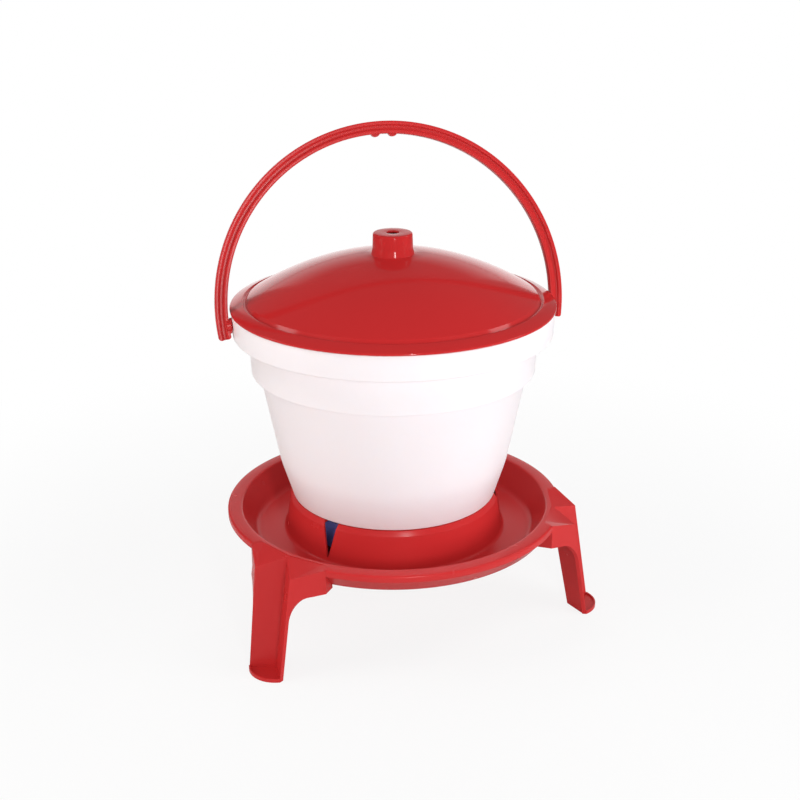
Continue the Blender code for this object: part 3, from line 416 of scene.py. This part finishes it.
def finish_edges(made, width=0, where=lambda middle: True):
    """Merge what a Boolean left double, round the chosen sharp edges and shade smooth."""
    bm = bmesh.new()
    bm.from_mesh(made.data)
    bmesh.ops.remove_doubles(bm, verts=bm.verts, dist=0.01 * MM)
    bmesh.ops.dissolve_degenerate(bm, edges=bm.edges, dist=0.001 * MM)
    weight = bm.edges.layers.float.new("bevel_weight_edge")
    for edge in bm.edges:
        middle = (edge.verts[0].co + edge.verts[1].co) / 2
        if edge.is_manifold and edge.calc_face_angle() > SHARP_ANGLE and where(middle):
            edge[weight] = 1
    bm.to_mesh(made.data)
    bm.free()
    made.data.shade_smooth()
    made.data.set_sharp_from_angle(angle=SHARP_ANGLE)
    if width:
        bevel = made.modifiers.new("moulded_edges", "BEVEL")
        bevel.width = width
        bevel.segments = 2
        bevel.limit_method = "WEIGHT"
        bevel.harden_normals = True


def on_a_leg(point):
    """True outside the lip's flat top and within a bracket's width of a leg."""
    azimuth = math.atan2(point.y, point.x)
    turns = [(azimuth - LEG_AZIMUTH + k * THIRD + math.pi) % math.tau - math.pi for k in range(3)]
    near = min(map(abs, turns)) < BRACKET_HALF_ANGLE + BRACKET_MARGIN
    return near and point.xy.length > ROOF_START_R + BRACKET_CLEAR


finish_edges(drinking_tray, LEG_EDGE, on_a_leg)
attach(drinking_tray, "drinker")
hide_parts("drinking_tray")


# Float valve. A plastic body through the bucket's floor, a nut above and a rubber
# gasket below it, and a blue float on a steel pin whose lever presses a rubber seal
# on the nozzle. Only the float shows, through the tray's notch.

pale_plastic = moulded_plastic("pale_valve_plastic", (0.72, 0.72, 0.69), 0.35)
blue_plastic = moulded_plastic("blue_moulded_plastic", (0.28, 0.33, 1.0), 0.3)
black_rubber = moulded_plastic("black_rubber", (0.02, 0.02, 0.02), 0.65, orange_peel=0.1)
steel_wire = moulded_plastic("drawn_steel", (0.6, 0.6, 0.6), 0.28, mottle=0.02)
steel_wire.node_tree.nodes["Principled BSDF"].inputs["Metallic"].default_value = 1
finishes = {"valve_body": pale_plastic, "valve_nut": pale_plastic, "valve_gasket": black_rubber,
            "float": blue_plastic, "float_seal": black_rubber, "float_pin": steel_wire}
for node, finish in finishes.items():
    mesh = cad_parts[node].data
    mesh.materials.clear()
    mesh.materials.append(finish)


# Bucket. One moulding in satin white plastic, thin enough to glow a little. It steps
# out twice near the brim so that buckets nest, and three hooks under its base lock
# it on the tray's ring.

BUCKET_STEPS = 192
BUCKET_WALL = 2.2 * MM
BUCKET_BASE = RING_TOP + 0.3 * MM
BUCKET_FLOOR = BUCKET_BASE + 2.5 * MM
STEM_HOLE_R = 8.9 * MM
SEAT_R = 114.6 * MM
KNEE_R = 127.6 * MM
KNEE_RISE = 42 * MM
KNEE_BLEND = 90 * MM
BODY_TOP_R = 148 * MM
LOW_BAND_RISE = 147.2 * MM
LOW_BAND_R = 156.2 * MM
LOW_BAND_TOP_R = 158 * MM
RIM_BAND_RISE = 190.2 * MM
RIM_BAND_R = 174.8 * MM
BRIM_R = 175.8 * MM
BRIM_TOP = BUCKET_BASE + 218 * MM
BRIM_WIDTH = 4.6 * MM
BRIM_DEPTH = 3 * MM
BRIM_BLEND = 0.4 * MM
BRIM_BLEND_DEPTH = 6 * MM
PIVOT_AZIMUTH = math.radians(12.4)
PIVOT_Z = BRIM_TOP - 12.2 * MM
PIVOT_HOLE_R = 4.3 * MM
HOOK_HALF = 6 * MM
HOOK_THICK = 2.8 * MM
HOOK_REACH = 3.2 * MM
HOOK_GAP = 0.3 * MM
HOOK_INSET = 0.6 * MM
HOOK_ROOT = 1.25 * MM
BAR_SIDES = 48


def white_moulding():
    """Satin white polypropylene, thin enough for some light to pass into it."""
    made = moulded_plastic("white_moulded_plastic", (0.84, 0.79, 0.815), 0.36, mottle=0.012)
    shader = made.node_tree.nodes["Principled BSDF"]
    shader.inputs["Subsurface Weight"].default_value = 0.25
    shader.inputs["Subsurface Radius"].default_value = (1.0, 0.8, 0.7)
    shader.inputs["Subsurface Scale"].default_value = 4 * MM
    return made


white_plastic = white_moulding()

wall, knee, low_step, high_step = (BUCKET_WALL, BUCKET_BASE + KNEE_RISE, BUCKET_BASE + LOW_BAND_RISE,
                                   BUCKET_BASE + RIM_BAND_RISE)
bucket = turned("bucket_moulding", [
    (STEM_HOLE_R, BUCKET_FLOOR, 0.3 * MM),
    (STEM_HOLE_R, BUCKET_BASE, 0.3 * MM),
    (SEAT_R, BUCKET_BASE, 2 * MM),
    (KNEE_R, knee, KNEE_BLEND),
    (BODY_TOP_R, low_step, 0.8 * MM),
    (LOW_BAND_R, low_step, 1.2 * MM),
    (LOW_BAND_TOP_R, high_step, 0.8 * MM),
    (RIM_BAND_R, high_step, 1.5 * MM),
    (BRIM_R, BRIM_TOP, 1.2 * MM),
    (BRIM_R - BRIM_WIDTH, BRIM_TOP, 1 * MM),
    (BRIM_R - BRIM_WIDTH, BRIM_TOP - BRIM_DEPTH, 1 * MM),
    (RIM_BAND_R - wall + BRIM_BLEND, BRIM_TOP - BRIM_BLEND_DEPTH, 1 * MM),
    (RIM_BAND_R - wall, high_step + wall, 1.2 * MM),
    (LOW_BAND_TOP_R - wall, high_step + wall, 1.2 * MM),
    (LOW_BAND_R - wall, low_step + wall, 1.2 * MM),
    (BODY_TOP_R - wall, low_step + wall, 1.2 * MM),
    (KNEE_R - wall, knee, KNEE_BLEND),
    (SEAT_R - wall, BUCKET_FLOOR, 5 * MM),
], white_plastic, BUCKET_STEPS)


def bucket_hook():
    """Bayonet hook under the base; its toe turns in under the ring's flange."""
    toe_top = RING_TOP - TRAY_WALL - HOOK_GAP
    toe_low = toe_top - HOOK_THICK
    root_out, root_top = RING_FLANGE_R - HOOK_INSET, BUCKET_BASE + HOOK_ROOT
    root_in, toe_r = root_out - HOOK_THICK, RING_FLANGE_R + HOOK_REACH
    outline = [(root_in, root_top), (root_in, toe_low), (toe_r, toe_low), (toe_r, toe_top),
               (root_out, toe_top), (root_out, root_top)]
    hook = prism("bucket_hook", outline, -HOOK_HALF, HOOK_HALF)
    hook.data.transform(Matrix(((1, 0, 0, 0), (0, 0, -1, 0), (0, 1, 0, 0), (0, 0, 0, 1))))
    return hook


def round_bar(name, radius, length, middle, azimuth):
    """A level cylinder that points along an azimuth."""
    bm = bmesh.new()
    bmesh.ops.create_cone(bm, cap_ends=True, segments=BAR_SIDES, radius1=radius, radius2=radius,
                          depth=length)
    turn = Matrix.Rotation(azimuth, 4, "Z") @ Matrix.Rotation(math.pi / 2, 4, "Y")
    bmesh.ops.transform(bm, matrix=Matrix.Translation(middle) @ turn, verts=bm.verts)
    return shown(name, bm, None)


for k in range(3):
    combine(bucket, turn_to(bucket_hook(), NOTCH_AZIMUTH + THIRD / 2 + k * THIRD), "UNION")
pivot_holes = round_bar("pivot_holes", PIVOT_HOLE_R, 2 * LIP_R, (0, 0, PIVOT_Z), PIVOT_AZIMUTH)
combine(bucket, pivot_holes, "DIFFERENCE")
finish_edges(bucket)
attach(bucket, "drinker")
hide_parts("bucket")


# Lid. One thin moulding in glossy red plastic: a dome with a shoulder, a groove and a
# sloping rim, a hollow knob with a round hole in its top, and a ring inside that
# centres it in the brim. It only rests on the bucket.

LID_STEPS = 192
LID_WALL = 2.2 * MM
LID_BASE = BRIM_TOP + 0.3 * MM
LID_R = 177 * MM
LID_EDGE = 7.6 * MM
RIM_FALL = 5.4 * MM
DOME_R = 161 * MM
DOME_RISE = 49.5 * MM
DOME_STEPS = 28
SHOULDER_R = 157 * MM
SHOULDER_WIDTH = 3.2 * MM
GROOVE_OUT = 4.6 * MM
GROOVE_DEPTH = 1.6 * MM
GROOVE_SLOPE = 1.6 * MM
SPIGOT_R = 169.5 * MM
SPIGOT_DEPTH = 9 * MM
SPIGOT_TAPER = 0.8 * MM
KNOB_FOOT_R = 23 * MM
KNOB_TOP_R = 21.4 * MM
KNOB_HEIGHT = 22.8 * MM
KNOB_HOLE_R = 6.8 * MM
KNOB_WAIST = 1 * MM
KNOB_WAIST_RISE = 7 * MM
KNOB_FLARE = 0.6 * MM
KNOB_DRAFT = 1.2 * MM


def dome_height(radius, shell=0.0):
    """Height of the dome above the lid's base, a shallow round cap."""
    return LID_BASE + LID_EDGE + DOME_RISE * (1 - (radius / DOME_R) ** 2) - shell


red_plastic = moulded_plastic("red_moulded_plastic", (0.49, 0.020, 0.021), 0.12, shine=0.31)

knob_foot = dome_height(KNOB_FOOT_R)
knob_top = knob_foot + KNOB_HEIGHT
dome_radii = [KNOB_FOOT_R + (SHOULDER_R - KNOB_FOOT_R) * k / DOME_STEPS for k in range(2, DOME_STEPS)]
groove_r, groove = SHOULDER_R + GROOVE_OUT, LID_BASE + LID_EDGE - GROOVE_DEPTH
inner_knob = KNOB_TOP_R - LID_WALL
under_rim = LID_BASE + LID_EDGE - 1.8 * LID_WALL
lid_profile = [
    (KNOB_HOLE_R, knob_top - 1 * MM, 0),
    (KNOB_HOLE_R, knob_top, 0.6 * MM),
    (KNOB_TOP_R, knob_top, 2 * MM),
    (KNOB_FOOT_R - KNOB_WAIST, knob_foot + KNOB_WAIST_RISE, 12 * MM),
    (KNOB_FOOT_R + KNOB_FLARE, dome_height(KNOB_FOOT_R + KNOB_FLARE), 0.5 * MM),
]
lid_profile += [(r, dome_height(r), 0) for r in dome_radii]
lid_profile += [
    (SHOULDER_R, dome_height(SHOULDER_R), 2.2 * MM),
    (SHOULDER_R + SHOULDER_WIDTH, groove, 0.6 * MM),
    (groove_r, groove, 0.5 * MM),
    (groove_r + GROOVE_SLOPE, LID_BASE + LID_EDGE, 0.8 * MM),
    (LID_R, LID_BASE + LID_EDGE - RIM_FALL, 1.6 * MM),
    (LID_R, LID_BASE, 0.4 * MM),
    (SPIGOT_R, LID_BASE, 0.4 * MM),
    (SPIGOT_R - SPIGOT_TAPER, LID_BASE - SPIGOT_DEPTH, 0.4 * MM),
    (SPIGOT_R - LID_WALL - SPIGOT_TAPER, LID_BASE - SPIGOT_DEPTH, 0.4 * MM),
    (SPIGOT_R - LID_WALL, LID_BASE + 1 * MM, 1.2 * MM),
    (groove_r + 1 * MM, under_rim, 0.8 * MM),
    (groove_r - LID_WALL, under_rim, 0.8 * MM),
]
lid_profile += [(r - LID_WALL * 0.3, dome_height(r, LID_WALL), 0) for r in reversed(dome_radii[:-1])]
lid_profile += [
    (inner_knob, dome_height(inner_knob, LID_WALL), 0.8 * MM),
    (inner_knob - KNOB_DRAFT, knob_top - LID_WALL, 1.2 * MM),
    (KNOB_HOLE_R, knob_top - LID_WALL, 0.4 * MM),
]
lid = turned("lid_moulding", lid_profile, red_plastic, LID_STEPS)
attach(lid, "drinker")
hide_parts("lid")


# Carrying handle. A red moulded arch with a groove along both faces, two bumps under
# its middle, and at each end a toothed boss and a snap stud in the bucket's band.

HANDLE_LEAN = math.radians(12.7)
ARCH_R = 192.8 * MM
ARCH_RISE = 14.3 * MM
ARCH_END = math.radians(9)
ARCH_STEPS = 160
BAR_WIDTH = 13.4 * MM
BAR_DEPTH = 9.5 * MM
BAR_GROOVE = 2.2 * MM
RIDGE = 3.9 * MM
RIDGE_SLOPE = 1 * MM
BAR_ROUNDING = 0.7 * MM
PIVOT_R = 4 * MM
BOSS_R = 8.4 * MM
BOSS_TEETH = 13
TOOTH = 2.4 * MM
BOSS_DISC = 2.4 * MM
HUB_R = 7.2 * MM
END_ROUNDING = 3 * MM
BOSS_GAP = 0.6 * MM
BOSS_SINK = 3 * MM
STUD_HEAD_R = 6 * MM
STUD_HEAD = 2.4 * MM
STUD_GAP = 0.9 * MM
BUMP_OFFSET = 9.4 * MM
BUMP_R = 5.2 * MM
BUMP_PROUD = 3.3 * MM
BUMP_STEPS = 24


def handle_arch():
    """The arch upright in XZ, with its pivots on the X axis."""
    out, side, groove_side = ARCH_R, BAR_DEPTH / 2, BAR_DEPTH / 2 - BAR_GROOVE
    inner = ARCH_R - BAR_WIDTH
    half = [(out, side), (out - RIDGE, side), (out - RIDGE - RIDGE_SLOPE, groove_side),
            (inner + RIDGE + RIDGE_SLOPE, groove_side), (inner + RIDGE, side), (inner, side)]
    section = half + [(r, -s) for r, s in reversed(half)]
    bm = bmesh.new()
    bm.faces.new([bm.verts.new((r, s, 0)) for r, s in section])
    bmesh.ops.bevel(bm, geom=bm.verts[:], offset=BAR_ROUNDING, offset_type="OFFSET", segments=3,
                    profile=0.5, affect="VERTICES", material=-1)
    bmesh.ops.rotate(bm, cent=(0, 0, 0), matrix=Matrix.Rotation(ARCH_END, 3, "Y"), verts=bm.verts)
    bmesh.ops.spin(bm, geom=bm.verts[:] + bm.edges[:] + bm.faces[:], cent=(0, 0, 0), axis=(0, -1, 0),
                   angle=math.pi + 2 * ARCH_END, steps=ARCH_STEPS, use_duplicate=False)
    bmesh.ops.recalc_face_normals(bm, faces=bm.faces)
    bmesh.ops.translate(bm, vec=(0, 0, ARCH_RISE), verts=bm.verts)
    return shown("carrying_handle_moulding", bm, red_satin_plastic)


def toothed_boss(low, high):
    """A disc against the bucket with teeth all round, and a plain round hub to the arch."""
    count = 2 * BOSS_TEETH
    outline = [polar(BOSS_R - (k % 2) * TOOTH, math.tau * k / count) for k in range(count)]
    boss = prism("boss", outline, low, low + BOSS_DISC)
    boss.data.transform(Matrix.Rotation(math.pi / 2, 4, "Y"))
    middle = ((low + BOSS_DISC / 2 + high) / 2, 0, 0)
    return combine(boss, round_bar("hub", HUB_R, high - low - BOSS_DISC / 2, middle, 0), "UNION")


def end_corner(radius, outwards):
    """What rounds one corner of the arch's end away."""
    along, across = polar(1, -ARCH_END), polar(outwards, -ARCH_END)
    up = Vector((-along.y, along.x))
    tip = along * radius + Vector((0, ARCH_RISE))
    centre = tip + (up - across) * END_ROUNDING
    arc = [centre + across * math.cos(a) * END_ROUNDING - up * math.sin(a) * END_ROUNDING
           for a in (math.radians(15 * k) for k in range(7))]
    outline = arc + [arc[-1] - up * CUT_PAST, tip + (across - up) * CUT_PAST, arc[0] + across * CUT_PAST]
    corner = prism("end_corner", outline, -BAR_DEPTH, BAR_DEPTH)
    corner.data.transform(Matrix.Rotation(math.pi / 2, 4, "X"))
    return corner


def grip_bump():
    """Lower half of a round bump along Y. Its flat top ends inside the arch's inner ridge."""
    middle = Vector((BUMP_OFFSET, ARCH_RISE + ARCH_R - BAR_WIDTH + BUMP_R - BUMP_PROUD))
    outline = [middle + polar(BUMP_R, -math.pi * k / BUMP_STEPS) for k in range(BUMP_STEPS + 1)]
    bump = prism("bump", outline, BAR_GROOVE - BAR_DEPTH / 2, BAR_DEPTH / 2 - BAR_GROOVE)
    bump.data.transform(Matrix.Rotation(math.pi / 2, 4, "X"))
    return bump


handle = handle_arch()
band_r = BRIM_R - (BRIM_R - RIM_BAND_R) * (BRIM_TOP - PIVOT_Z) / (BRIM_TOP - high_step)
inner_face = math.sqrt((ARCH_R - BAR_WIDTH) ** 2 - ARCH_RISE ** 2)
stud_end = band_r - BUCKET_WALL - STUD_GAP - STUD_HEAD
head_middle = stud_end + STUD_HEAD / 2
stud_middle = (inner_face + head_middle) / 2
for side_turn in (0, math.pi):
    end = toothed_boss(band_r + BOSS_GAP, inner_face + BOSS_SINK)
    combine(end, round_bar("stud", PIVOT_R, inner_face - head_middle, (stud_middle, 0, 0), 0), "UNION")
    combine(end, round_bar("stud_head", STUD_HEAD_R, STUD_HEAD, (head_middle, 0, 0), 0), "UNION")
    for radius, outwards in ((ARCH_R, 1), (ARCH_R - BAR_WIDTH, -1)):
        combine(handle, turn_to(end_corner(radius, outwards), side_turn), "DIFFERENCE")
    combine(handle, turn_to(end, side_turn), "UNION")
    combine(handle, turn_to(grip_bump(), side_turn), "UNION")
lean = Matrix.Rotation(PIVOT_AZIMUTH, 4, "Z") @ Matrix.Rotation(-HANDLE_LEAN, 4, "X")
handle.data.transform(Matrix.Translation((0, 0, PIVOT_Z)) @ lean)
handle.data.materials.clear()
handle.data.materials.append(red_satin_plastic)
finish_edges(handle)
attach(handle, "handle")
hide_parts("carrying_handle")


# Floor and backdrop. A pale table top that keeps the object's soft shadow, and behind
# it a low wall whose light fades upwards, with a dark seam. Both are white to the camera,
# and the glossy red plastic mirrors them along the back of the lid.

FLOOR_HALF = 3.0
WHITE_SHARE = 0.86
SHADOW_KEPT_TO = 0.35
WHITE_FROM = 0.9
WALL_R = 1.75
WALL_RIGHT = math.radians(23)
WALL_LEFT = math.radians(26)
WALL_SEAM = 0.74
SEAM_HEIGHT = 0.03
WALL_HEIGHT = 1.4
WALL_STEPS = 24
WALL_BRIGHT_TO = 0.42
WALL_DARK_FROM = 1.3
WALL_GLOW_LOW = 1.2
WALL_GLOW_HIGH = 0.14
PAPER_GREY = (0.75, 0.75, 0.75, 1)


def paper(name, glow_of_height):
    """White to the camera. The wall shines by its height, the table top by the light it gets."""
    made = bpy.data.materials.new(name)
    made.use_nodes = True
    nodes, links = made.node_tree.nodes, made.node_tree.links
    shader = nodes["Principled BSDF"]
    shader.inputs["Base Color"].default_value = PAPER_GREY
    shader.inputs["Roughness"].default_value = 0.9
    shader.inputs["Specular IOR Level"].default_value = 0
    white = nodes.new("ShaderNodeEmission")
    rays = nodes.new("ShaderNodeLightPath")
    blend = nodes.new("ShaderNodeMixShader")
    place = nodes.new("ShaderNodeTexCoord")
    if glow_of_height:
        split = nodes.new("ShaderNodeSeparateXYZ")
        fade = nodes.new("ShaderNodeMapRange")
        fade.inputs["From Min"].default_value = WALL_BRIGHT_TO
        fade.inputs["From Max"].default_value = WALL_DARK_FROM
        fade.inputs["To Min"].default_value = WALL_GLOW_LOW
        fade.inputs["To Max"].default_value = WALL_GLOW_HIGH
        lit = nodes.new("ShaderNodeEmission")
        links.new(place.outputs["Object"], split.inputs["Vector"])
        links.new(split.outputs["Z"], fade.inputs["Value"])
        links.new(fade.outputs["Result"], lit.inputs["Strength"])
        links.new(rays.outputs["Is Camera Ray"], blend.inputs["Fac"])
        links.new(lit.outputs["Emission"], blend.inputs[1])
    else:
        reach = nodes.new("ShaderNodeVectorMath")
        reach.operation = "LENGTH"
        whiter = nodes.new("ShaderNodeMapRange")
        whiter.interpolation_type = "SMOOTHSTEP"
        whiter.inputs["From Min"].default_value = SHADOW_KEPT_TO
        whiter.inputs["From Max"].default_value = WHITE_FROM
        whiter.inputs["To Min"].default_value = WHITE_SHARE
        whiter.inputs["To Max"].default_value = 1
        share = nodes.new("ShaderNodeMath")
        share.operation = "MULTIPLY"
        links.new(place.outputs["Object"], reach.inputs[0])
        links.new(reach.outputs["Value"], whiter.inputs["Value"])
        links.new(rays.outputs["Is Camera Ray"], share.inputs[0])
        links.new(whiter.outputs["Result"], share.inputs[1])
        links.new(share.outputs["Value"], blend.inputs["Fac"])
        links.new(shader.outputs["BSDF"], blend.inputs[1])
    links.new(white.outputs["Emission"], blend.inputs[2])
    links.new(blend.outputs["Shader"], nodes["Material Output"].inputs["Surface"])
    return made


bm = bmesh.new()
bmesh.ops.create_grid(bm, x_segments=2, y_segments=2, size=FLOOR_HALF)
bmesh.ops.translate(bm, vec=(0, 0, GROUND), verts=bm.verts)
shown("table_top", bm, paper("table_paper", False))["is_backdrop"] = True
wall_paper = paper("wall_paper", True)
for low, high in ((0, WALL_SEAM), (WALL_SEAM + SEAM_HEIGHT, WALL_HEIGHT)):
    bm = bmesh.new()
    bm.edges.new([bm.verts.new((0, WALL_R, GROUND + z)) for z in (low, high)])
    bmesh.ops.rotate(bm, cent=(0, 0, 0), matrix=Matrix.Rotation(-WALL_RIGHT, 3, "Z"), verts=bm.verts)
    bmesh.ops.spin(bm, geom=bm.verts[:] + bm.edges[:], cent=(0, 0, 0), axis=(0, 0, 1),
                   angle=WALL_RIGHT + WALL_LEFT, steps=WALL_STEPS)
    shown("pale_wall", bm, wall_paper)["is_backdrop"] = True


# Light. A tall soft box beside the camera gives the small highlights, and one on each
# side draws the pale lines on the lid's edge. The fills and tops light from all round
# and aren't mirrored. The surroundings are dim, and white only to the camera.

def soft_box(name, place, target, width, height, power, mirrored=True, tint=(1, 1, 1)):
    lamp = bpy.data.lights.new(name, "AREA")
    lamp.shape = "RECTANGLE"
    lamp.size = width
    lamp.size_y = height
    lamp.energy = power
    lamp.color = tint
    made = bpy.data.objects.new(name, lamp)
    made.location = place
    made.rotation_euler = (Vector(target) - Vector(place)).to_track_quat("-Z", "Y").to_euler()
    made.visible_camera = False
    made.visible_glossy = mirrored
    bpy.context.scene.collection.objects.link(made)
    return made


def surroundings(level):
    world = bpy.data.worlds.new("surroundings")
    bpy.context.scene.world = world
    world.use_nodes = True
    nodes, links = world.node_tree.nodes, world.node_tree.links
    dim = nodes["Background"]
    dim.inputs["Color"].default_value = (1, 1, 1, 1)
    dim.inputs["Strength"].default_value = level
    white = nodes.new("ShaderNodeBackground")
    white.inputs["Color"].default_value = (1, 1, 1, 1)
    white.inputs["Strength"].default_value = 1
    rays = nodes.new("ShaderNodeLightPath")
    blend = nodes.new("ShaderNodeMixShader")
    links.new(rays.outputs["Is Camera Ray"], blend.inputs["Fac"])
    links.new(dim.outputs["Background"], blend.inputs[1])
    links.new(white.outputs["Background"], blend.inputs[2])
    links.new(blend.outputs["Shader"], nodes["World Output"].inputs["Surface"])


soft_box("tall_box", (0.33, -1.5, 0.66), (0, 0, 0.15), 0.16, 0.5, 7)
soft_box("right_box", (1.7, 0.25, 1.4), (0, 0, 0.2), 0.5, 0.5, 2.5)
soft_box("left_box", (-1.7, 0.25, 1.4), (0, 0, 0.2), 0.5, 0.5, 2.5)
soft_box("right_fill", (2.0, -0.8, 0.35), (0, 0, 0.05), 1.0, 0.7, 23, mirrored=False)
soft_box("left_fill", (-2.0, -0.8, 0.35), (0, 0, 0.05), 1.0, 0.7, 17, mirrored=False, tint=(1, 0.91, 0.84))
soft_box("right_top", (1.2, -0.4, 2.0), (0, 0, 0.1), 0.9, 0.9, 11, mirrored=False)
soft_box("left_top", (-1.2, -0.4, 2.0), (0, 0, 0.1), 0.9, 0.9, 11, mirrored=False)
soft_box("back_fill", (0, 1.6, 1.3), (0, 0, 0.1), 1.2, 0.7, 9, mirrored=False)
soft_box("front_fill", (-0.3, -2.0, 0.8), (0, 0, 0.1), 1.2, 0.7, 7, mirrored=False)
surroundings(0.18)


# Camera, at the photograph's place: a long lens that looks 21 degrees down, with the
# small roll and shift that the photograph's framing has.

CAMERA_PLACE = (0, -1.392, 0.6865)
CAMERA_DOWN = math.radians(20.994)
CAMERA_ROLL = math.radians(-0.295)
CAMERA_LENS = 59.96
CAMERA_SHIFT = 0.0081

camera = bpy.data.objects.new("camera", bpy.data.cameras.new("camera"))
bpy.context.scene.collection.objects.link(camera)
camera.location = CAMERA_PLACE
camera.rotation_euler = (Matrix.Rotation(math.pi / 2 - CAMERA_DOWN, 3, "X")
                         @ Matrix.Rotation(CAMERA_ROLL, 3, "Z")).to_euler()
camera.data.sensor_width = 36
camera.data.lens = CAMERA_LENS
camera.data.shift_x = CAMERA_SHIFT
bpy.context.scene.camera = camera
bpy.context.scene.view_settings.view_transform = "Standard"

low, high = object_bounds()
